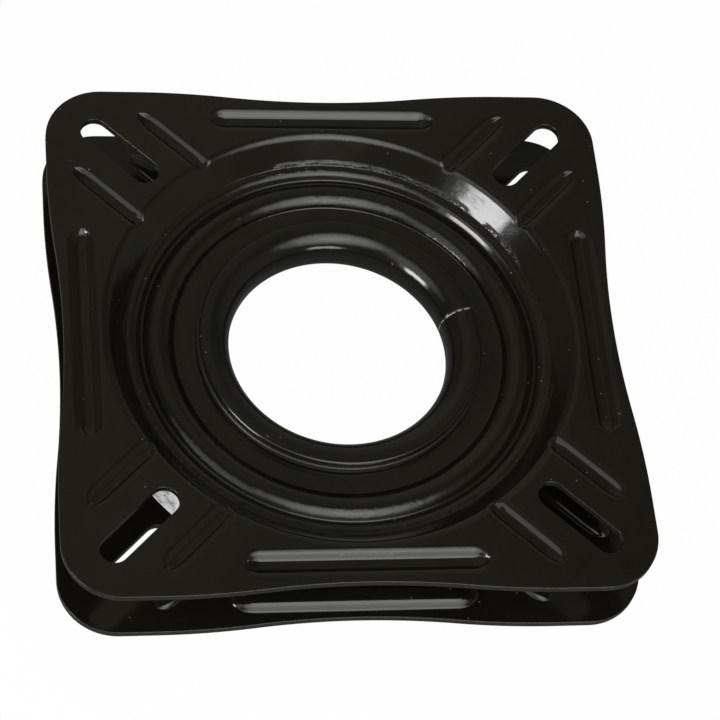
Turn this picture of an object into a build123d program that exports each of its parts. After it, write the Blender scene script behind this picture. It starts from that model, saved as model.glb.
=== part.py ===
from build123d import *
import os
from math import atan2, cos, pi, radians, sin, sqrt, tan

# Boat seat swivel: two equal pressed steel plates that turn on a ring of balls
# and are held together at the bore by a rolled ring. Millimetres. Z is the
# swivel axis, and z = 0 is the mounting face of the bottom plate. Sections
# are drawn as (distance from the axis, height), with a plate's mounting face
# at height 0 and the rest of the plate below it.

# plates
plate_width = 177.8
sheet = 2.5
overall_height = 27.0
corner_radius = 18.0
side_dip = 3.3
dip_half_length = 60.0

# race and its bead
ball_diameter = 6.35
race_from_edge = 32.4
ball_count = 12
race_clearance = 0.06
outer_flank_slope = 46.0
inner_flank_slope = 54.0

# rest of the pressed bowl, its rises taken from the middle of the swivel
floor_rise = 2.9
bore_inside_race = 18.0
valley_rise = 3.1
ledge_rise = 2.5
ledge_outside_race = 7.1
ledge_width = 2.6
ledge_inside_bend = 0.3
wall_slope = 50.0
shoulder_inside_bend = 1.5

# slots on the diagonals
slot_width = 8.8
slot_outside_ledge = 16.0
slot_beyond_half_width = 14.9

# pressed grooves
groove_width = 6.8
groove_bottom = 2.4
groove_depth = 2.0
side_groove_inset = 10.1
side_groove_length = 72.0
corner_groove_spread = 30.0
corner_groove_before_slot = 6.0
corner_groove_overlap = 0.2

# slip washers under the ring's edges
washer_thickness = 2.5
washer_width = 6.1
washer_bore_clearance = 0.35
slip_clearance = 0.1

# retaining ring, turned out over the edges of the plates' bores
ring_sheet = 2.2
ring_inside_bore = 4.2
ring_web = 1.8
ring_lip = 5.6
split_angle = 15.0
split_gap = 0.35

# ball cage
cage_thickness = 1.0
cage_inside_race = 2.7
cage_outside_race = 4.0
pocket_clearance = 0.15

half_width = plate_width / 2
mid_height = overall_height / 2
ball_radius = ball_diameter / 2
race_radius = ball_radius + race_clearance
ball_pitch_radius = half_width - race_from_edge
floor_depth = mid_height - floor_rise
valley_depth = mid_height - valley_rise
ledge_depth = valley_depth - ledge_rise
ledge_inner_radius = ball_pitch_radius + ledge_outside_race
ledge_outer_radius = ledge_inner_radius + ledge_width
plate_bore_radius = ball_pitch_radius - bore_inside_race
slot_inner_centre = ledge_outer_radius + slot_outside_ledge
slot_outer_centre = half_width + slot_beyond_half_width
side_groove_at = half_width - side_groove_inset
corner_groove_end = slot_outer_centre - corner_groove_before_slot
corner_groove_start = ledge_outer_radius - corner_groove_overlap
washer_outer_radius = plate_bore_radius + washer_width
washer_height = floor_rise + slip_clearance
ring_bore_radius = plate_bore_radius - ring_inside_bore
ring_edge_radius = plate_bore_radius + ring_lip
cage_inner_radius = ball_pitch_radius - cage_inside_race
cage_outer_radius = ball_pitch_radius + cage_outside_race
ring_inside_height = washer_height + washer_thickness + slip_clearance
ring_half_height = ring_inside_height + ring_sheet
ring_bend = ring_half_height - ring_web / 2


def side_edge(x):
    """Distance of a plate's edge from the middle, at x along it: the dip is three tangent arcs."""
    arc_radius = (dip_half_length**2 + side_dip**2) / (4 * side_dip)
    if abs(x) <= dip_half_length / 2:
        return half_width - side_dip + arc_radius - sqrt(arc_radius**2 - x**2)
    return half_width - arc_radius + sqrt(arc_radius**2 - (dip_half_length - abs(x)) ** 2)


def side_arc(x_from, x_to):
    """One arc of a dipped side."""
    places = [x_from, (x_from + x_to) / 2, x_to]
    return ThreePointArc(*[(x, side_edge(x)) for x in places])


def plate_outline():
    """Square with round corners, each side dipped in its middle."""
    side_end = half_width - corner_radius
    bend = dip_half_length / 2
    corner_middle = side_end + corner_radius * cos(pi / 4)
    quarter = [
        Line((-side_end, half_width), (-dip_half_length, half_width)),
        side_arc(-dip_half_length, -bend),
        side_arc(-bend, bend),
        side_arc(bend, dip_half_length),
        Line((dip_half_length, half_width), (side_end, half_width)),
        ThreePointArc(
            (side_end, half_width), (corner_middle, corner_middle), (half_width, side_end)
        ),
    ]
    return make_face([Rot(0, 0, 90 * k) * line for k in range(4) for line in quarter])


def bowl_section():
    """Corners of the bowl's upper side from the flat inwards. Each has its bend, +1 over a crest
    or -1 in a hollow, and that bend's inside radius."""
    outer = radians(outer_flank_slope)
    inner = radians(inner_flank_slope)
    bead_radius = race_radius + sheet
    start_x = ball_pitch_radius + bead_radius * sin(outer)
    start_z = -mid_height + bead_radius * cos(outer)
    end_x = ball_pitch_radius - bead_radius * sin(inner)
    end_z = -mid_height + bead_radius * cos(inner)
    valley_x = start_x + (start_z + valley_depth) / tan(outer)
    floor_x = end_x - (end_z + floor_depth) / tan(inner)
    rise = start_z - end_z + start_x * tan(outer) + end_x * tan(inner)
    peak_x = rise / (tan(outer) + tan(inner))
    peak_z = end_z + (peak_x - end_x) * tan(inner)
    shoulder_x = ledge_outer_radius + ledge_depth / tan(radians(wall_slope))
    return [
        (shoulder_x, 0, 1, shoulder_inside_bend),
        (ledge_outer_radius, -ledge_depth, -1, 0),
        (ledge_inner_radius, -ledge_depth, 1, ledge_inside_bend),
        (valley_x, -valley_depth, -1, 0),
        (peak_x, peak_z, 1, race_radius),
        (floor_x, -floor_depth, -1, 0),
    ]


def rounded(corners, depth):
    """Points and radii of a bowl section on the upper side, or that much deeper in the sheet."""
    path = [(half_width, 0), *[(x, z) for x, z, _, _ in corners], (0, -floor_depth)]
    lines = []
    for (x0, z0), (x1, z1) in zip(path, path[1:]):
        run = sqrt((x1 - x0) ** 2 + (z1 - z0) ** 2)
        across = (z1 - z0) / run
        along = (x0 - x1) / run
        lines.append((across, along, across * x0 + along * z0 - depth))
    points = []
    for (a0, b0, c0), (a1, b1, c1) in zip(lines, lines[1:]):
        det = a0 * b1 - a1 * b0
        points.append(((c0 * b1 - c1 * b0) / det, (a0 * c1 - a1 * c0) / det))
    radii = [inside + (sheet - depth if bend > 0 else depth) for _, _, bend, inside in corners]
    return points, radii


def bowl_space(depth, rim, top):
    """Solid of revolution above the bowl's upper side, or above one deeper in the sheet."""
    points, radii = rounded(bowl_section(), depth)
    points = [(rim, -depth), *points, (0, -floor_depth - depth)]
    line = FilletPolyline(*points, radius=radii)
    closing = Polyline(points[-1], (0, top), (rim, top), points[0])
    return revolve(Plane.XZ * make_face([*line.edges(), *closing.edges()]), Axis.Z)


def trough(start, end, mouth, bottom):
    """Groove along X with a flat bottom and round ends, its mouth at height 0."""
    first = start + mouth / 2
    last = end - mouth / 2
    corners = [
        (-mouth / 2, 0),
        (-bottom / 2, -groove_depth),
        (bottom / 2, -groove_depth),
        (mouth / 2, 0),
    ]
    section = Plane((first, 0, 0), x_dir=(0, 1, 0), z_dir=(1, 0, 0))
    groove = extrude(section * make_face(Polyline(*corners, close=True)), last - first)
    for x in (first, last):
        groove += Pos(x, 0, -groove_depth / 2) * Cone(bottom / 2, mouth / 2, groove_depth)
    return groove


def grooves(depth):
    """All twelve grooves of a plate at depth 0, or their backs a sheet's thickness down."""
    slope = atan2(groove_depth, (groove_width - groove_bottom) / 2)
    spread = depth * tan(slope / 2)
    widths = (groove_width + 2 * spread, groove_bottom + 2 * spread)
    reach = side_groove_length / 2 + spread
    side = Pos(0, side_groove_at, -depth) * trough(-reach, reach, *widths)
    corner = Pos(0, 0, -depth) * trough(corner_groove_start, corner_groove_end + spread, *widths)
    cuts = []
    for k in range(4):
        cuts.append(Rot(0, 0, 90 * k) * side)
        for across in (-corner_groove_spread / 2, corner_groove_spread / 2):
            cuts.append(Rot(0, 0, 45 + 90 * k) * Pos(0, across, 0) * corner)
    return cuts


def slots():
    """Cutters of the four slots on the diagonals."""
    run = slot_outer_centre - slot_inner_centre
    middle = (slot_outer_centre + slot_inner_centre) / 2
    shape = Pos(middle, 0, 0) * SlotCenterToCenter(run, slot_width)
    cutter = extrude(shape, mid_height, both=True)
    return [Rot(0, 0, 45 + 90 * k) * cutter for k in range(4)]


def plate():
    """One stamping, its mounting face up at height 0."""
    rim = bowl_section()[0][0] + shoulder_inside_bend + sheet
    stamping = extrude(plate_outline(), -sheet) + bowl_space(sheet, rim, 0) + grooves(sheet)
    stamping -= bowl_space(0, rim, sheet)
    stamping -= grooves(0)
    stamping -= slots()
    return stamping - Cylinder(plate_bore_radius, 2 * overall_height)


def washer(height):
    """Slip washer whose lower face is at the given height above the middle."""
    bend_x = ring_bore_radius + ring_bend
    bend_z = ring_half_height - ring_bend
    inside_bend = ring_bend - ring_sheet
    rise = washer_height + washer_thickness - bend_z
    bore = bend_x - sqrt(inside_bend**2 - rise**2) + washer_bore_clearance
    low = (Align.CENTER, Align.CENTER, Align.MIN)
    disc = Cylinder(washer_outer_radius, washer_thickness, align=low)
    return Pos(0, 0, height) * (disc - Cylinder(bore, 2 * overall_height))


def retaining_ring():
    """Strip rolled to a ring, its edges turned out over the washers, with a butt joint."""
    sides = []
    for depth in (0, ring_sheet):
        height = ring_half_height - depth
        bore = ring_bore_radius + depth
        upper = [(ring_edge_radius, height), (bore, height)]
        lower = [(bore, -height), (ring_edge_radius, -height)]
        sides.append(FilletPolyline(*upper, *lower, radius=ring_bend - depth))
    outer, inner = sides
    edges = [*outer.edges(), *inner.edges(), Line(outer @ 0, inner @ 0), Line(outer @ 1, inner @ 1)]
    ring = revolve(Plane.XZ * make_face(edges), Axis.Z)
    reach = ring_edge_radius + ring_sheet
    joint = Pos(reach / 2, 0, 0) * Box(reach, split_gap, 3 * ring_half_height)
    return ring - Rot(0, 0, split_angle) * joint


def ball_places():
    """Places of the balls round the race."""
    return PolarLocations(ball_pitch_radius, ball_count)


def ball_cage():
    """Flat ring with a pocket for each ball, open to the inside."""
    cage = Cylinder(cage_outer_radius, cage_thickness) - Cylinder(cage_inner_radius, overall_height)
    pocket = Cylinder(ball_radius + pocket_clearance, overall_height)
    return cage - [place * pocket for place in ball_places()]


def balls():
    """The row of balls."""
    row = [place * Sphere(ball_radius) for place in ball_places()]
    return Compound(children=row)


if __name__ == "__main__":
    stamping = plate()
    middle = Pos(0, 0, mid_height)
    nodes = {
        "bottom_plate": Rot(180, 0, 0) * stamping,
        "top_plate": Pos(0, 0, overall_height) * stamping,
        "retaining_ring": middle * retaining_ring(),
        "lower_slip_washer": middle * washer(-washer_height - washer_thickness),
        "upper_slip_washer": middle * washer(washer_height),
        "ball_cage": middle * ball_cage(),
        "balls": middle * balls(),
    }
    os.makedirs("parts", exist_ok=True)
    for name, shape in nodes.items():
        export_step(shape, f"parts/{name}.step")
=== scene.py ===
import math

import bpy
import numpy as np
from mathutils import Matrix, Vector
from mathutils.geometry import delaunay_2d_cdt


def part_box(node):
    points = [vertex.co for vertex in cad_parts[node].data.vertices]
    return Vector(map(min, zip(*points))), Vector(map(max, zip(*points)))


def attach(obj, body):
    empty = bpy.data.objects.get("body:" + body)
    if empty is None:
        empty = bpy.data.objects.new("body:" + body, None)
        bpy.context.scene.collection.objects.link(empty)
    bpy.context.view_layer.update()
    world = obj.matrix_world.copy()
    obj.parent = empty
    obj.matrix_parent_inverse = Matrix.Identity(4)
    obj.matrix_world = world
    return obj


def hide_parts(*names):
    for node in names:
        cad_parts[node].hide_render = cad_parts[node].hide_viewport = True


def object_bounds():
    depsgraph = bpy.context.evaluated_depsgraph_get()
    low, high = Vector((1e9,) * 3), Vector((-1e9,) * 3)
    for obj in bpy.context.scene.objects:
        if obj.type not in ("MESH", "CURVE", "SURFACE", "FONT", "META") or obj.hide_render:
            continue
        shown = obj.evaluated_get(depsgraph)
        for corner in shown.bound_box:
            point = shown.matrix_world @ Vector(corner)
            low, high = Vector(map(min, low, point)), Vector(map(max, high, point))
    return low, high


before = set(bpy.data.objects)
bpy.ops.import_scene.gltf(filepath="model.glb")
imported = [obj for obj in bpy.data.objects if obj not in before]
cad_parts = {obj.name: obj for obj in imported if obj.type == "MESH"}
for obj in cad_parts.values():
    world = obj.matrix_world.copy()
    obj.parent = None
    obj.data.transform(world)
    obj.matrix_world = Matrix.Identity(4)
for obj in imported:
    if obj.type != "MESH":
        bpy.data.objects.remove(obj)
cad_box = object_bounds()

# Sizes in metres. Plates are worked out mounting face up at height 0, the metal below it.
MM = 0.001
LOW, HIGH = cad_box
HALF_WIDTH = (HIGH.x - LOW.x) / 2
HEIGHT = HIGH.z - LOW.z
MIDDLE = (HIGH.z + LOW.z) / 2
SHEET = 2.5 * MM
FLOOR_DEPTH = (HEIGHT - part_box("top_plate")[0].z) - SHEET

CORNER_RADIUS = 18 * MM
SIDE_DIP = 3.3 * MM
DIP_HALF = 60 * MM

SHOULDER_AT = 72.83 * MM
SHOULDER_BEND = 4.0 * MM
LEDGE_OUTER = 66.2 * MM
LEDGE_INNER = 63.6 * MM
LEDGE_DEPTH = 7.9 * MM
LEDGE_BEND = 2.8 * MM
VALLEY_DEPTH = 10.4 * MM
FOLD_BEND = 0.8 * MM
BEAD_PITCH = 56.5 * MM
BEAD_RADIUS = 5.735 * MM
OUTER_FLANK = math.radians(46)
INNER_FLANK = math.radians(54)
PLATE_BORE = 38.5 * MM

SLOT_HALF_WIDTH = 4.4 * MM
SLOT_INNER = 82.2 * MM
SLOT_OUTER = 103.8 * MM

GROOVE_DEPTH = 1.85 * MM
GROOVE_FLAT = 1.3 * MM
GROOVE_MOUTH = 3.75 * MM
GROOVE_LIP = 4.2 * MM
GROOVE_FOLD = 0.35 * MM
GROOVE_TIP = 0.2
GROOVE_BLEND = 1.6 * MM
SIDE_GROOVE_AT = 78.8 * MM
SIDE_GROOVE_HALF = 36.4 * MM
SIDE_GROOVE_TAPER = 5.5 * MM
CORNER_GROOVE_ACROSS = 15.0 * MM
CORNER_GROOVE_END = 98.4 * MM
CORNER_GROOVE_START = 67.0 * MM
CORNER_GROOVE_TAPER = 6.5 * MM
CORNER_GROOVE_SCALE = 0.80

RING_SHEET = 2.2 * MM
RING_BORE = 34.3 * MM
RING_HALF_HEIGHT = 7.8 * MM
RING_BEND = 6.9 * MM
RING_EDGE = 44.1 * MM
JOINT_ANGLE = math.radians(15)
JOINT_DEPTH = 0.45 * MM
JOINT_SPREAD = 0.30 * MM

WASHER_OUTER = 44.6 * MM
WASHER_EDGE = 0.8 * MM
WASHER_CHAMFER = 0.2 * MM

# How the plates' meshes are divided: the bowl in rows and columns inside JOIN, the flat freely outside it.
JOIN = 75.8 * MM
COLUMNS = 400
RIM = 0.22 * MM
RIM_STEPS = 3
LATTICE = 4 * MM
GROOVE_STATION = 2.0 * MM
GROOVE_END_STATION = 0.5 * MM

QUARTER = math.pi / 2


def rounded_line(points, radii, step):
    """Points along a polyline whose inner corners are arcs: (x, z) rows, close together on the arcs."""
    points = [np.array(p, float) for p in points]
    line = [points[0]]
    for before, corner, after, radius in zip(points, points[1:], points[2:], radii):
        back = (before - corner) / np.linalg.norm(before - corner)
        on = (after - corner) / np.linalg.norm(after - corner)
        half_turn = (math.pi - math.acos(float(np.clip(back @ on, -1, 1)))) / 2
        trim = radius * math.tan(half_turn)
        middle = (back + on) / np.linalg.norm(back + on)
        centre = corner + middle * radius / math.cos(half_turn)
        start = corner + back * trim - centre
        end = corner + on * trim - centre
        count = max(3, int(2 * half_turn * radius / step))
        for k in range(count + 1):
            mix = k / count
            a = 2 * half_turn
            arm = (math.sin((1 - mix) * a) * start + math.sin(mix * a) * end) / math.sin(a)
            line.append(centre + arm)
    line.append(points[-1])
    return np.array(line)


def thinned(line, gap):
    """The line with long straight runs divided to the given gap."""
    out = [line[0]]
    for a, b in zip(line, line[1:]):
        run = np.linalg.norm(b - a)
        if run < 1e-7:
            continue
        count = max(1, int(round(run / gap)))
        for k in range(1, count + 1):
            out.append(a + (b - a) * k / count)
    return np.array(out)


# The stamping's upper surface


def bowl_line(step):
    """Section of the bowl's upper side from the flat inwards, as (radius, depth) rows."""
    start = np.array([math.sin(OUTER_FLANK), -math.cos(OUTER_FLANK)]) * BEAD_RADIUS
    end = np.array([-math.sin(INNER_FLANK), -math.cos(INNER_FLANK)]) * BEAD_RADIUS
    centre = np.array([BEAD_PITCH, HEIGHT / 2])
    start, end = centre + start, centre + end
    valley = (start[0] + (VALLEY_DEPTH - start[1]) / math.tan(OUTER_FLANK), VALLEY_DEPTH)
    floor = (end[0] - (FLOOR_DEPTH - end[1]) / math.tan(INNER_FLANK), FLOOR_DEPTH)
    rise = start[0] * math.tan(OUTER_FLANK) + end[0] * math.tan(INNER_FLANK) + end[1] - start[1]
    peak_at = rise / (math.tan(OUTER_FLANK) + math.tan(INNER_FLANK))
    peak = (peak_at, end[1] - (peak_at - end[0]) * math.tan(INNER_FLANK))
    corners = [
        ((HALF_WIDTH, 0), 0),
        ((SHOULDER_AT, 0), SHOULDER_BEND),
        ((LEDGE_OUTER, LEDGE_DEPTH), FOLD_BEND),
        ((LEDGE_INNER, LEDGE_DEPTH), LEDGE_BEND),
        (valley, FOLD_BEND),
        (peak, BEAD_RADIUS),
        (floor, FOLD_BEND),
        ((PLATE_BORE, FLOOR_DEPTH), 0),
    ]
    return rounded_line([c for c, _ in corners], [r for _, r in corners[1:-1]], step)


def groove_line(reach, step):
    """Half section of a groove from its middle out to the flat, as (distance, depth) rows."""
    corners = [(0, GROOVE_DEPTH), (GROOVE_FLAT, GROOVE_DEPTH), (GROOVE_MOUTH, 0), (reach, 0)]
    return rounded_line(corners, [GROOVE_FOLD, GROOVE_LIP], step)


FINE_LINE = bowl_line(0.02 * MM)[::-1]
GROOVE_LINE = groove_line(8 * MM, 0.02 * MM)
GROOVE_ROWS = thinned(groove_line(7 * MM, 0.35 * MM), 0.7 * MM)[:, 0]
CORNER_GROOVE_HALF = (CORNER_GROOVE_END - CORNER_GROOVE_START) / 2
CORNER_GROOVE_MIDDLE = (CORNER_GROOVE_END + CORNER_GROOVE_START) / 2


def groove_swell(x, half, taper):
    """Size of a groove's section along it: whole in the middle and running out at its round ends."""
    past = np.maximum(np.abs(x) - (half - taper), 0) / taper
    left = 1 - past**2
    soft = np.clip(left + GROOVE_TIP, 0, 2 * GROOVE_TIP) ** 2 / (4 * GROOVE_TIP)
    return np.sqrt(np.where(left > GROOVE_TIP, left, soft))


def one_groove(x, y, half, taper, scale):
    """Depth of one groove that lies along x."""
    swell = groove_swell(x, half, taper) * scale
    return swell * np.interp(np.abs(y) / (swell + 1e-6), GROOVE_LINE[:, 0], GROOVE_LINE[:, 1])


def groove_depth(x, y):
    """Depth of the pressed grooves, which have flat bottoms, straight walls and round lips."""
    depth = np.zeros(np.shape(x))
    for k in range(4):
        a = QUARTER * k
        u, v = x * math.cos(a) + y * math.sin(a), y * math.cos(a) - x * math.sin(a)
        side = one_groove(u, v - SIDE_GROOVE_AT, SIDE_GROOVE_HALF, SIDE_GROOVE_TAPER, 1)
        depth = np.maximum(depth, side)
        a += QUARTER / 2
        u, v = x * math.cos(a) + y * math.sin(a), y * math.cos(a) - x * math.sin(a)
        u = u - CORNER_GROOVE_MIDDLE
        for across in (-CORNER_GROOVE_ACROSS, CORNER_GROOVE_ACROSS):
            corner = one_groove(
                u, v - across, CORNER_GROOVE_HALF, CORNER_GROOVE_TAPER, CORNER_GROOVE_SCALE
            )
            depth = np.maximum(depth, corner)
    return depth


def plate_depth(x, y):
    """Depth of the upper side below the mounting face: the bowl, with the grooves run into it."""
    bowl = np.interp(np.hypot(x, y), FINE_LINE[:, 0], FINE_LINE[:, 1])
    groove = groove_depth(x, y)
    blend = np.minimum(np.minimum(bowl, groove), GROOVE_BLEND)
    meet = np.maximum(blend - np.abs(bowl - groove), 0) / (blend + 1e-9)
    return np.maximum(bowl, groove) + meet**2 * blend / 4


def surface(xy):
    """Points of the upper side over the given places, and its normals there."""
    x, y = xy[:, 0], xy[:, 1]
    step = 0.04 * MM
    slope_x = (plate_depth(x + step, y) - plate_depth(x - step, y)) / (2 * step)
    slope_y = (plate_depth(x, y + step) - plate_depth(x, y - step)) / (2 * step)
    normals = np.stack([slope_x, slope_y, np.ones_like(x)], 1)
    normals /= np.linalg.norm(normals, axis=1)[:, None]
    return np.stack([x, y, -plate_depth(x, y)], 1), normals


# Edges of the stamping


def side_height(x):
    """Distance of the plate's edge from the middle: three tangent arcs dip it."""
    arc = (DIP_HALF**2 + SIDE_DIP**2) / (4 * SIDE_DIP)
    x = abs(x)
    if x <= DIP_HALF / 2:
        return HALF_WIDTH - SIDE_DIP + arc - math.sqrt(arc**2 - x**2)
    return HALF_WIDTH - arc + math.sqrt(arc**2 - (DIP_HALF - min(x, DIP_HALF)) ** 2)


def turned(xy, angle):
    """Places turned about the middle, anticlockwise."""
    c, s = math.cos(angle), math.sin(angle)
    return xy @ np.array([[c, s], [-s, c]])


def arc_points(centre, radius, start, end, count):
    """Evenly spaced points along an arc, both of its ends among them."""
    a = np.linspace(start, end, count)
    return np.stack([centre[0] + radius * np.cos(a), centre[1] + radius * np.sin(a)], 1)


def plate_outline():
    """Closed loop round the plate, anticlockwise."""
    straight = HALF_WIDTH - CORNER_RADIUS
    across = np.linspace(straight, -straight, 84)[1:-1]
    side = np.array([(x, side_height(x)) for x in across])
    corner = arc_points((straight, straight), CORNER_RADIUS, 0, QUARTER, 22)
    quarter = np.vstack([corner, side])
    return np.vstack([turned(quarter, QUARTER * k) for k in range(4)])


def slot_outline(k):
    """Closed loop round one slot, anticlockwise."""
    outer = arc_points((SLOT_OUTER, 0), SLOT_HALF_WIDTH, -QUARTER, QUARTER, 21)
    inner = arc_points((SLOT_INNER, 0), SLOT_HALF_WIDTH, QUARTER, 3 * QUARTER, 21)
    along = np.linspace(SLOT_OUTER, SLOT_INNER, 14)[1:-1]
    upper = np.stack([along, np.full_like(along, SLOT_HALF_WIDTH)], 1)
    lower = np.stack([along[::-1], np.full_like(along, -SLOT_HALF_WIDTH)], 1)
    return turned(np.vstack([outer, upper, inner, lower]), QUARTER / 2 + QUARTER * k)


def outward(loop):
    """Unit normals of an anticlockwise loop, pointing out of it."""
    along = np.roll(loop, -1, 0) - np.roll(loop, 1, 0)
    normals = np.stack([along[:, 1], -along[:, 0]], 1)
    return normals / np.linalg.norm(normals, axis=1)[:, None]


def inside(xy, loop):
    """Which of the places lie inside a closed loop."""
    x, y = xy[:, 0][:, None], xy[:, 1][:, None]
    x0, y0 = loop[:, 0][None], loop[:, 1][None]
    x1, y1 = np.roll(loop, -1, 0)[:, 0][None], np.roll(loop, -1, 0)[:, 1][None]
    crosses = (y0 > y) != (y1 > y)
    at = x0 + (y - y0) * (x1 - x0) / np.where(y1 == y0, 1e-12, y1 - y0)
    return (np.sum(crosses & (x < at), axis=1) % 2).astype(bool)


# Meshes of the plates


def mesh_object(name, points, faces, normals=None, edge=None):
    """Mesh from rows of points in metres, shaded with the given normals if there are any. edge gives how
    much of a sheared edge each point is, from 0 to 1."""
    mesh = bpy.data.meshes.new(name)
    mesh.from_pydata([tuple(p) for p in points], [], faces)
    mesh.polygons.foreach_set("use_smooth", [True] * len(mesh.polygons))
    mesh.update()
    if normals is not None:
        mesh.normals_split_custom_set_from_vertices([tuple(n) for n in normals])
    if edge is not None:
        worn = mesh.attributes.new("sheared_edge", "FLOAT", "POINT")
        worn.data.foreach_set("value", edge)
    piece = bpy.data.objects.new(name, mesh)
    bpy.context.scene.collection.objects.link(piece)
    return piece


def polar_radii():
    """Radii of the bowl's rows, close together on its bends, from the flat to the bore."""
    line = bowl_line(0.45 * MM)
    outer = [r for r, _ in thinned(line, 0.6 * MM) if LEDGE_OUTER <= r < JOIN - 0.3 * MM]
    inner = [r for r, _ in thinned(line, 1.2 * MM) if PLATE_BORE + RIM + 0.1 * MM < r < LEDGE_OUTER]
    rows = [JOIN, *outer, *inner, PLATE_BORE + RIM]
    return np.array([r for k, r in enumerate(rows) if k == 0 or rows[k - 1] - r > 0.05 * MM])


def groove_places():
    """Places over the flat that follow the grooves, in rows along them and fans at their ends."""

    def one(half, taper, scale):
        """Places round one groove that lies along x."""
        straight = half - taper
        middle = np.linspace(-straight, straight, round(2 * straight / GROOVE_STATION))
        ends = np.linspace(0, taper * 1.10, round(taper / GROOVE_END_STATION))[1:] + straight
        found = []
        for u in np.concatenate([-ends, middle, ends]):
            size = float(groove_swell(u, half, taper))
            rows = GROOVE_ROWS * scale * max(size, 0.12)
            rows = rows[np.concatenate([[True], np.diff(rows) > 0.07 * MM])]
            found += [(u, side * row) for row in rows for side in ((1,) if row == 0 else (-1, 1))]
        return np.array(found)

    side = one(SIDE_GROOVE_HALF, SIDE_GROOVE_TAPER, 1) + [0, SIDE_GROOVE_AT]
    corner = one(CORNER_GROOVE_HALF, CORNER_GROOVE_TAPER, CORNER_GROOVE_SCALE)
    places = []
    for k in range(4):
        places.append(turned(side, QUARTER * k))
        for across in (-CORNER_GROOVE_ACROSS, CORNER_GROOVE_ACROSS):
            moved = corner + [CORNER_GROOVE_MIDDLE, across]
            places.append(turned(moved, QUARTER / 2 + QUARTER * k))
    return np.vstack(places)


def flange_mesh(edges, circle):
    """Flat part of the plate between its edges and the bowl: places and triangles."""
    grooves = groove_places()
    half_count = int(HALF_WIDTH / LATTICE)
    lattice = np.arange(-half_count, half_count + 1) * LATTICE
    grid = np.array([(x, y) for x in lattice for y in lattice])
    nearest = np.array([np.min(np.sum((grooves - g) ** 2, 1)) for g in grid])
    grid = grid[nearest > (1.6 * MM) ** 2]
    outline, *slots = edges
    loops = edges + [circle]
    free = np.vstack([grooves, grid])
    keep = inside(free, outline) & (np.hypot(free[:, 0], free[:, 1]) > JOIN + 0.35 * MM)
    for slot in slots:
        keep &= ~inside(free, slot)
    free = free[keep]
    for loop in loops:
        gap = np.array([np.min(np.sum((loop - f) ** 2, 1)) for f in free])
        free = free[gap > (0.4 * MM) ** 2]
    places = np.vstack([*loops, free])
    lines, first = [], 0
    for loop in loops:
        count = len(loop)
        lines += [(first + k, first + (k + 1) % count) for k in range(count)]
        first += count
    _, _, faces, originals, _, _ = delaunay_2d_cdt([Vector(p) for p in places], lines, [], 0, 1e-9)
    triangles = np.array([[originals[v][0] for v in f] for f in faces])
    centres = places[triangles].mean(axis=1)
    keep = inside(centres, outline)
    for hole in (*slots, circle):
        keep &= ~inside(centres, hole)
    triangles = triangles[keep]
    a, b, c = (places[triangles[:, k]] for k in range(3))
    turn = (b - a)[:, 0] * (c - a)[:, 1] - (b - a)[:, 1] * (c - a)[:, 0]
    triangles[turn < 0] = triangles[turn < 0][:, ::-1]
    return places, triangles


def stamping_mesh():
    """Points, faces, normals and sheared edge of one plate, mounting face up at height 0."""
    outline = plate_outline()
    slots = [slot_outline(k) for k in range(4)]
    rims = [(outline, outward(outline))] + [(slot, -outward(slot)) for slot in slots]
    edges = [loop - RIM * out for loop, out in rims]
    angles = np.arange(COLUMNS) * 2 * math.pi / COLUMNS
    spokes = np.stack([np.cos(angles), np.sin(angles)], 1)
    places, triangles = flange_mesh(edges, spokes * JOIN)
    faces = [tuple(t) for t in triangles]
    first_circle = sum(len(e) for e in edges)
    radii = polar_radii()[1:]
    bowl = np.vstack([spokes * r for r in radii])
    total = len(places)
    rows = [np.arange(COLUMNS) + first_circle]
    rows += [np.arange(COLUMNS) + total + COLUMNS * k for k in range(len(radii))]
    for outer, inner in zip(rows, rows[1:]):
        for k in range(COLUMNS):
            n = (k + 1) % COLUMNS
            faces.append((outer[k], outer[n], inner[n], inner[k]))
    places = np.vstack([places, bowl])
    top, up = surface(places)
    count = len(places)
    points = [top, top - SHEET * up]
    normals = [up, -up]
    faces += [tuple(v + count for v in reversed(f)) for f in list(faces)]
    made = 2 * count
    bore = (spokes * PLATE_BORE, -spokes)
    starts = np.cumsum([0] + [len(e) for e in edges])
    loops = [np.arange(starts[k], starts[k + 1]) for k in range(len(edges))] + [rows[-1]]
    for (_, out), ring, outer_side in zip(rims + [bore], loops, [True] + [False] * 5):
        flat_out = np.column_stack([out, np.zeros(len(out))])
        sides = []
        for base in (0, count):
            upper = top[ring] - (SHEET if base else 0) * up[ring]
            face = up[ring] * (-1 if base else 1)
            flat = flat_out - face * np.sum(flat_out * face, 1)[:, None]
            flat /= np.linalg.norm(flat, axis=1)[:, None]
            sides.append([ring + base])
            for step in range(1, RIM_STEPS + 1):
                a = QUARTER * step / RIM_STEPS
                arm = flat * math.sin(a) + face * math.cos(a)
                points.append(upper - face * RIM + arm * RIM)
                normals.append(arm)
                sides[-1].append(np.arange(len(ring)) + made)
                made += len(ring)
        strip = sides[0] + sides[1][::-1]
        for a_row, b_row in zip(strip, strip[1:]):
            size = len(ring)
            for k in range(size):
                n = (k + 1) % size
                quad = (a_row[k], b_row[k], b_row[n], a_row[n])
                faces.append(quad if outer_side else quad[::-1])
    edge = (np.arange(made) >= 2 * count).astype(float)
    return np.vstack(points), [tuple(int(v) for v in f) for f in faces], np.vstack(normals), edge


# Ring and washers


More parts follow.
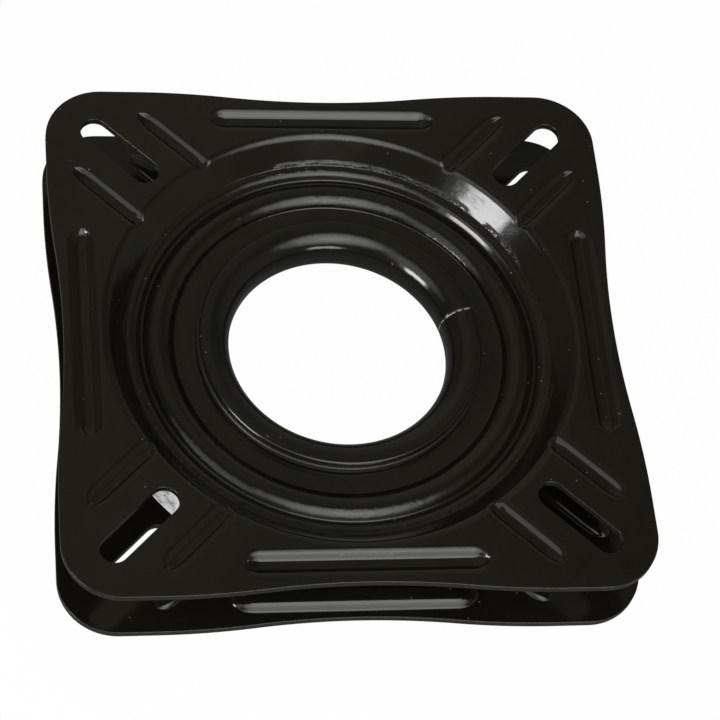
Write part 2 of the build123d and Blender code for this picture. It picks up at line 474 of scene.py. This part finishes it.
def revolved(name, section, angles, drawn_in=None):
    """Ring from a closed section of (radius, height) rows turned through the angles. drawn_in gives how
    far the section's surface sinks at each angle."""
    ahead, behind = np.roll(section, -1, 0), np.roll(section, 1, 0)
    along = ahead - behind
    facing = np.stack([along[:, 1], -along[:, 0]], 1)
    facing /= np.linalg.norm(facing, axis=1)[:, None]
    count = len(section)
    points, normals, faces = [], [], []
    for k, a in enumerate(angles):
        shape = section - facing * (0 if drawn_in is None else drawn_in[k])
        c, s = math.cos(a), math.sin(a)
        points.append(np.stack([shape[:, 0] * c, shape[:, 0] * s, shape[:, 1]], 1))
        normals.append(np.stack([facing[:, 0] * c, facing[:, 0] * s, facing[:, 1]], 1))
        n = (k + 1) % len(angles)
        for i in range(count):
            j = (i + 1) % count
            faces.append((k * count + i, n * count + i, n * count + j, k * count + j))
    shading = np.vstack(normals) if drawn_in is None else None
    return mesh_object(name, np.vstack(points), faces, shading)


def ring_section():
    """Closed section of the rolled ring, anticlockwise, with round edges."""
    paths = []
    for depth in (0, RING_SHEET):
        height, bore = RING_HALF_HEIGHT - depth, RING_BORE + depth
        edge = RING_EDGE - RING_SHEET / 2
        corners = [(edge, height), (bore, height), (bore, -height), (edge, -height)]
        paths.append(thinned(rounded_line(corners, [RING_BEND - depth] * 2, 0.4 * MM), 0.8 * MM))
    outer, inner = paths
    half = RING_SHEET / 2
    low = arc_points((RING_EDGE - half, -RING_HALF_HEIGHT + half), half, -QUARTER, QUARTER, 11)
    high = arc_points((RING_EDGE - half, RING_HALF_HEIGHT - half), half, -QUARTER, QUARTER, 11)
    return np.vstack([outer, low[1:-1], inner[::-1], high[1:-1]])


def washer_section(low, high, bore):
    """Closed section of a slip washer, anticlockwise, with round outer edges."""
    inner = bore + WASHER_CHAMFER
    outer = WASHER_OUTER - WASHER_EDGE
    lower = arc_points((outer, low + WASHER_EDGE), WASHER_EDGE, -QUARTER, 0, 7)
    upper = arc_points((outer, high - WASHER_EDGE), WASHER_EDGE, 0, QUARTER, 7)
    ends = np.array([(bore, high - WASHER_CHAMFER), (bore, low + WASHER_CHAMFER), (inner, low)])
    flat = np.linspace(inner, outer, 5)[1:-1]
    bottom = np.stack([flat, np.full_like(flat, low)], 1)
    top = np.stack([flat[::-1], np.full_like(flat, high)], 1)
    return np.vstack([bottom, lower, upper, top, [(inner, high)], ends])


points, faces, normals, edge = stamping_mesh()
over = np.array([1, -1, -1])
top_plate = mesh_object("top_plate_painted", points + [0, 0, HIGH.z], faces, normals, edge)
below = points * over + [0, 0, LOW.z]
bottom_plate = mesh_object("bottom_plate_painted", below, faces, normals * over, edge)

around = np.linspace(-math.pi, math.pi, 361)[:-1]
around = around[np.abs(around) * RING_EDGE > 1.6 * MM]
near_joint = np.array([-1.2, -0.8, -0.5, -0.35, -0.22, -0.1, 0, 0.1, 0.22, 0.35, 0.5, 0.8, 1.2]) * MM
joint_angles = np.sort(np.concatenate([around, near_joint / RING_EDGE]))
drawn_in = JOINT_DEPTH * np.exp(-((joint_angles * RING_EDGE / JOINT_SPREAD) ** 2))
ring = revolved("retaining_ring_painted", ring_section(), joint_angles + JOINT_ANGLE, drawn_in)
ring.data.transform(Matrix.Translation((0, 0, MIDDLE)))

washers = []
for node in ("lower_slip_washer", "upper_slip_washer"):
    low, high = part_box(node)
    bore = min(math.hypot(v.co.x, v.co.y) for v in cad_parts[node].data.vertices)
    section = washer_section(low.z, high.z, bore)
    washers.append(revolved(node + "_worn", section, np.linspace(0, 2 * math.pi, 241)[:-1]))

for piece, node, body, finish in (
    (top_plate, "top_plate", "seat_side", "plate_paint"),
    (bottom_plate, "bottom_plate", "base", "plate_paint"),
    (ring, "retaining_ring", "base", "ring_paint"),
    (washers[0], "lower_slip_washer", "base", "slip_plastic"),
    (washers[1], "upper_slip_washer", "base", "slip_plastic"),
):
    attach(piece, body)
    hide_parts(node)


# Materials


class Value:
    """A shader socket whose sums and products become Math nodes."""

    def __init__(self, paint, socket):
        self.paint, self.socket = paint, socket

    def math(self, operation, *values):
        return self.paint.node("ShaderNodeMath", {"operation": operation}, dict(enumerate((self, *values))))

    def __add__(self, other):
        return self.math("ADD", other)

    def __mul__(self, other):
        return self.math("MULTIPLY", other)

    __radd__ = __add__
    __rmul__ = __mul__

    def below(self, edge, soft):
        """1 under the edge and 0 over it, with a soft step between."""
        return self.paint.step(self, edge + soft, edge - soft)

    def above(self, edge, soft):
        """0 under the edge and 1 over it, with a soft step between."""
        return self.paint.step(self, edge - soft, edge + soft)


class Finish:
    """One procedural material and the nodes in it."""

    def __init__(self, name):
        self.material = bpy.data.materials.new(name)
        self.material.use_nodes = True
        self.tree = self.material.node_tree
        self.tree.nodes.clear()
        self.place = self.node("ShaderNodeTexCoord", {}, {}, "Object")

    @classmethod
    def in_tree(cls, tree):
        """The same node calls for a tree that is no material's."""
        made = cls.__new__(cls)
        made.tree = tree
        tree.nodes.clear()
        return made

    def node(self, kind, settings, inputs, out=0):
        """Any node: its settings are set first, then the values or links of its sockets."""
        made = self.tree.nodes.new(kind)
        for key, setting in settings.items():
            setattr(made, key, setting)
        for key, given in inputs.items():
            socket = made.inputs[key]
            source = given.socket if isinstance(given, Value) else given
            if isinstance(source, bpy.types.NodeSocket):
                self.tree.links.new(source, socket)
            else:
                socket.default_value = source
        return Value(self, made.outputs[out])

    def step(self, value, start, end):
        """Soft step from 0 at the start to 1 at the end."""
        inputs = {"Value": value, "From Min": start, "From Max": end}
        return self.node("ShaderNodeMapRange", {"interpolation_type": "SMOOTHSTEP"}, inputs)

    def noise(self, size, detail=2, rough=0.5, place=None):
        """Noise whose lumps are about the given size in metres."""
        inputs = {"Vector": place or self.place, "Scale": 1 / size, "Detail": detail, "Roughness": rough}
        return self.node("ShaderNodeTexNoise", {}, inputs)

    def vector_math(self, operation, first, second, out="Value"):
        """Vector Math with two inputs."""
        return self.node("ShaderNodeVectorMath", {"operation": operation}, {0: first, 1: second}, out)

    def stretched(self, scale):
        """Places with each axis scaled, so that what is drawn there is drawn out."""
        inputs = {"Vector": self.place, "Scale": scale}
        return self.node("ShaderNodeMapping", {"vector_type": "TEXTURE"}, inputs)

    def mix(self, amount, first, second):
        """Mix of two colours."""
        inputs = {0: amount, 6: first, 7: second}
        return self.node("ShaderNodeMix", {"data_type": "RGBA"}, inputs, 2)

    def bump(self, height, distance, strength):
        inputs = {"Height": height, "Distance": distance, "Strength": strength}
        return self.node("ShaderNodeBump", {}, inputs)

    def ray(self, kind):
        """1 for rays of one kind, such as Is Camera Ray."""
        return self.node("ShaderNodeLightPath", {}, {}, kind)

    def put_out(self, shader, kind="ShaderNodeOutputMaterial"):
        """Ends the tree with the shader."""
        output = self.tree.nodes.new(kind)
        self.tree.links.new(shader.socket, output.inputs["Surface"])

    def painted(self, **inputs):
        """Material made of one Principled shader with the given sockets."""
        named = {key.replace("_", " "): value for key, value in inputs.items()}
        self.put_out(self.node("ShaderNodeBsdfPrincipled", {}, named))
        return self.material


# Lump sizes of the enamel, and the radii between which its runs gather
FLOW, SAG, POOL, PEEL, CLOUD = (size * MM for size in (9, 2.2, 16, 0.8, 45))
NIB_SPACING = 4.2 * MM
BUMP_DEPTH = 0.5 * MM
LEDGE_BAND = 64.6 * MM, 67.0 * MM
BEAD_BAND = 51 * MM, 60 * MM
# Half width of the pale painted highlight along the ring's butt joint, and how far out from the middle it
# starts
JOINT_HIGHLIGHT_HALF_WIDTH = 0.20 * MM
JOINT_HIGHLIGHT_START = 20 * MM

DUST = (0.24, 0.23, 0.18, 1)
THIN_EDGE = (0.016, 0.0155, 0.009, 1)
# Pale colour painted along the ring's joint as the highlight on the paint that fills it
PAINTED_JOINT_HIGHLIGHT = (0.42, 0.41, 0.35, 1)


def gloss_paint(name, colour, warm, joint=None):
    """Black gloss enamel over steel: flow, runs on the ledge, orange peel, dust nibs and thin edges. joint
    is the angle of a ring's butt joint, which thick paint fills; a pale painted highlight of that paint is
    drawn along it."""
    finish = Finish(name)
    flow = finish.noise(FLOW)
    sag = finish.noise(SAG, place=finish.stretched((1, 1, 0.5)))
    pools = finish.noise(POOL, detail=1)
    peel = finish.noise(PEEL)
    cloud = finish.noise(CLOUD, 3, 0.6)
    across = finish.vector_math("MULTIPLY", finish.place, (1, 1, 0), "Vector")
    radius = finish.node("ShaderNodeVectorMath", {"operation": "LENGTH"}, {0: across}, "Value")
    ledge = radius.above(LEDGE_BAND[0], 0.9 * MM) * radius.below(LEDGE_BAND[1], 0.6 * MM)
    bead = radius.above(BEAD_BAND[0], 1.5 * MM) * radius.below(BEAD_BAND[1], 2 * MM)
    runs = (ledge + bead * 0.25) * pools.above(0.47, 0.06)
    cells = {"Vector": finish.place, "Scale": 1 / NIB_SPACING}
    nib = finish.node("ShaderNodeTexVoronoi", {"feature": "F1"}, cells, "Distance")
    chance = finish.node("ShaderNodeTexVoronoi", {"feature": "F1"}, cells, "Color")
    picked = finish.node("ShaderNodeSeparateXYZ", {}, {0: chance}, 0).above(0.62, 0.02)
    nibs = nib.below(0.055, 0.025) * picked
    edge = finish.node("ShaderNodeAttribute", {"attribute_name": "sheared_edge"}, {}, "Fac")
    worn = edge * finish.noise(3 * MM, 3, 0.6).above(0.42, 0.14)
    tint = finish.mix(cloud.above(0.5, 0.2), colour, warm)
    tint = finish.mix(nibs * 0.5, tint, DUST)
    tint = finish.mix(worn * 0.8, tint, THIN_EDGE)
    # A pale painted highlight along the ring's butt joint, standing for the light caught by the paint that
    # fills it
    if joint is not None:
        c, s = math.cos(joint), math.sin(joint)
        off = finish.vector_math("DOT_PRODUCT", finish.place, (-s, c, 0)).math("ABSOLUTE")
        ahead = finish.vector_math("DOT_PRODUCT", finish.place, (c, s, 0)).above(JOINT_HIGHLIGHT_START, 5 * MM)
        broken = finish.noise(1.5 * MM).above(0.44, 0.05)
        joint_highlight = off.below(JOINT_HIGHLIGHT_HALF_WIDTH, 0.09 * MM) * ahead * broken
        tint = finish.mix(joint_highlight * 0.85, tint, PAINTED_JOINT_HIGHLIGHT)
    rough = 0.085 + cloud * 0.07 + peel * 0.03 + edge * 0.10
    height = flow * 0.34 + sag * (0.03 + runs * 0.95) + peel * 0.013 + nibs * 0.12
    normal = finish.bump(height, BUMP_DEPTH, 0.8)
    return finish.painted(Base_Color=tint, Roughness=rough, Normal=normal)


plate_paint = gloss_paint("plate_enamel", (0.0055, 0.0053, 0.0036, 1), (0.0075, 0.0072, 0.0048, 1))
ring_paint = gloss_paint(
    "ring_enamel", (0.0050, 0.0049, 0.0036, 1), (0.0066, 0.0064, 0.0046, 1), JOINT_ANGLE
)


def plain_finish(name, colour, other, roughness, lump, metallic=0):
    """Even finish of a plain part: two close colours in clouds of the given size, and a fine bump."""
    finish = Finish(name)
    cloud = finish.noise(lump, 4, 0.6)
    fine = finish.noise(lump / 8, 2, 0.5)
    tint = finish.mix(cloud, colour, other)
    rough = roughness + cloud * 0.12
    normal = finish.bump(fine, 0.05 * MM, 0.4)
    return finish.painted(Base_Color=tint, Roughness=rough, Normal=normal, Metallic=metallic)


slip_plastic = plain_finish(
    "slip_nylon", (0.010, 0.010, 0.009, 1), (0.018, 0.017, 0.015, 1), 0.3, 6 * MM
)
cage_plastic = plain_finish("cage_nylon", (0.05, 0.048, 0.04, 1), (0.08, 0.075, 0.06, 1), 0.45, 5 * MM)
ball_steel = plain_finish("ball_steel", (0.55, 0.54, 0.52, 1), (0.45, 0.43, 0.40, 1), 0.18, 3 * MM, 1)

for piece, finish in (
    (top_plate, plate_paint),
    (bottom_plate, plate_paint),
    (ring, ring_paint),
    (washers[0], slip_plastic),
    (washers[1], slip_plastic),
):
    piece.data.materials.append(finish)
for node, finish in (("ball_cage", cage_plastic), ("balls", ball_steel)):
    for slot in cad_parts[node].material_slots:
        slot.material = finish


# Floor, lights and camera
FLOOR_HALF = 3
FLOOR_DROP = 0.2 * MM


def floor_finish():
    """Pale floor: white to the camera with some of the object's shadow, dim grey in the gloss."""
    finish = Finish("studio_floor")
    diffuse = finish.node("ShaderNodeBsdfDiffuse", {}, {"Color": (0.80, 0.80, 0.80, 1)})
    white = finish.node("ShaderNodeEmission", {}, {"Color": (1, 1, 1, 1), "Strength": 1.0})
    grey = finish.node("ShaderNodeEmission", {}, {"Color": (1, 1, 0.9, 1), "Strength": 0.09})
    mirrored = (finish.ray("Is Glossy Ray") + finish.ray("Is Transmission Ray")) * 0.88
    back = finish.node("ShaderNodeMixShader", {}, {0: mirrored, 1: diffuse, 2: grey})
    seen = finish.ray("Is Camera Ray") * 0.97
    finish.put_out(finish.node("ShaderNodeMixShader", {}, {0: seen, 1: back, 2: white}))
    return finish.material


corners = [(x * FLOOR_HALF, y * FLOOR_HALF, -FLOOR_DROP) for x, y in ((-1, -1), (1, -1), (1, 1), (-1, 1))]
floor = mesh_object("studio_floor", corners, [(0, 1, 2, 3)])
floor.data.materials.append(floor_finish())


def direction(azimuth, elevation):
    """Unit vector toward a compass angle from +x and a height, both in degrees."""
    a, e = math.radians(azimuth), math.radians(elevation)
    return Vector((math.cos(a) * math.cos(e), math.sin(a) * math.cos(e), math.sin(e)))


# Soft round patches of the room: azimuth, elevation, edge and softness as cosines, strength
WALLS = (110, 60, 0.925, 0.055, 0.12), (80, 18, 0.86, 0.10, 0.16), (-12, 24, 0.84, 0.12, 0.12)
LIGHTS = (284, 57, 0.915, 0.078, 3.0), (207, 44, 0.94, 0.05, 1.1)
ROOM = 0.10


def studio_world():
    """White to the camera. The object is lit by a dim room with paler walls and two lights in it."""
    world = bpy.data.worlds.new("studio")
    bpy.context.scene.world = world
    world.use_nodes = True
    room = Finish.in_tree(world.node_tree)
    toward = room.node("ShaderNodeTexCoord", {}, {}, "Generated")

    def patches(rows):
        total = 0
        for azimuth, elevation, edge, soft, strength in rows:
            near = room.vector_math("DOT_PRODUCT", toward, direction(azimuth, elevation))
            total = near.above(edge, soft) * strength + total
        return total

    lights = patches(LIGHTS)
    tone = room.mix(lights.above(0.25, 0.2), (1.0, 0.985, 0.78, 1), (1.0, 1.0, 0.97, 1))
    glow = patches(WALLS) + lights + ROOM
    dim = room.node("ShaderNodeBackground", {}, {"Color": tone, "Strength": glow})
    white = room.node("ShaderNodeBackground", {}, {"Color": (1, 1, 1, 1), "Strength": 1.0})
    both = room.node("ShaderNodeMixShader", {}, {0: room.ray("Is Camera Ray"), 1: dim, 2: white})
    room.put_out(both, "ShaderNodeOutputWorld")


studio_world()


LAMP_DISTANCE = 1.2


def softbox(name, azimuth, elevation, wide, tall, radiance):
    """Area lamp that covers the given angles in degrees, seen from the object, at a given radiance."""
    light = bpy.data.lights.new(name, "AREA")
    light.shape = "RECTANGLE"
    light.size = 2 * LAMP_DISTANCE * math.tan(math.radians(wide / 2))
    light.size_y = 2 * LAMP_DISTANCE * math.tan(math.radians(tall / 2))
    light.energy = radiance * math.pi * light.size * light.size_y
    lamp = bpy.data.objects.new(name, light)
    bpy.context.scene.collection.objects.link(lamp)
    toward = direction(azimuth, elevation)
    lamp.location = toward * LAMP_DISTANCE + Vector((0, 0, HEIGHT))
    lamp.rotation_euler = toward.to_track_quat("Z", "Y").to_euler()


softbox("left_window", 207, 18, 20, 17, 17)
softbox("front_window", 284, 8, 26, 12, 6.5)
softbox("front_umbrella", 284, 56, 14, 16, 1.0)

# The photo's view, aimed past the middle of the top by ASIDE and ALOFT. FOCAL is in pixels of its frame.
AZIMUTH, ELEVATION, ROLL = (math.radians(a) for a in (-19.22, 58.26, 16.23))
DISTANCE, ASIDE, ALOFT = 0.7751, -0.00491, 0.00948
FOCAL, PHOTO_WIDTH, SENSOR = 2526.3, 720, 36

back = Vector((
    math.sin(AZIMUTH) * math.cos(ELEVATION),
    -math.cos(AZIMUTH) * math.cos(ELEVATION),
    math.sin(ELEVATION),
))
right = (-back).cross(Vector((0, 0, 1))).normalized()
up = right.cross(-back)
right, up = (
    math.cos(ROLL) * right + math.sin(ROLL) * up,
    -math.sin(ROLL) * right + math.cos(ROLL) * up,
)
camera = bpy.data.objects.new("camera", bpy.data.cameras.new("camera"))
camera.data.sensor_width = SENSOR
camera.data.lens = FOCAL * SENSOR / PHOTO_WIDTH
camera.data.clip_start = 0.05
spot = back * DISTANCE - right * ASIDE - up * ALOFT + Vector((0, 0, HEIGHT))
camera.matrix_world = Matrix.Translation(spot) @ Matrix((right, up, back)).transposed().to_4x4()
bpy.context.scene.collection.objects.link(camera)
bpy.context.scene.camera = camera
bpy.context.scene.view_settings.view_transform = "Standard"
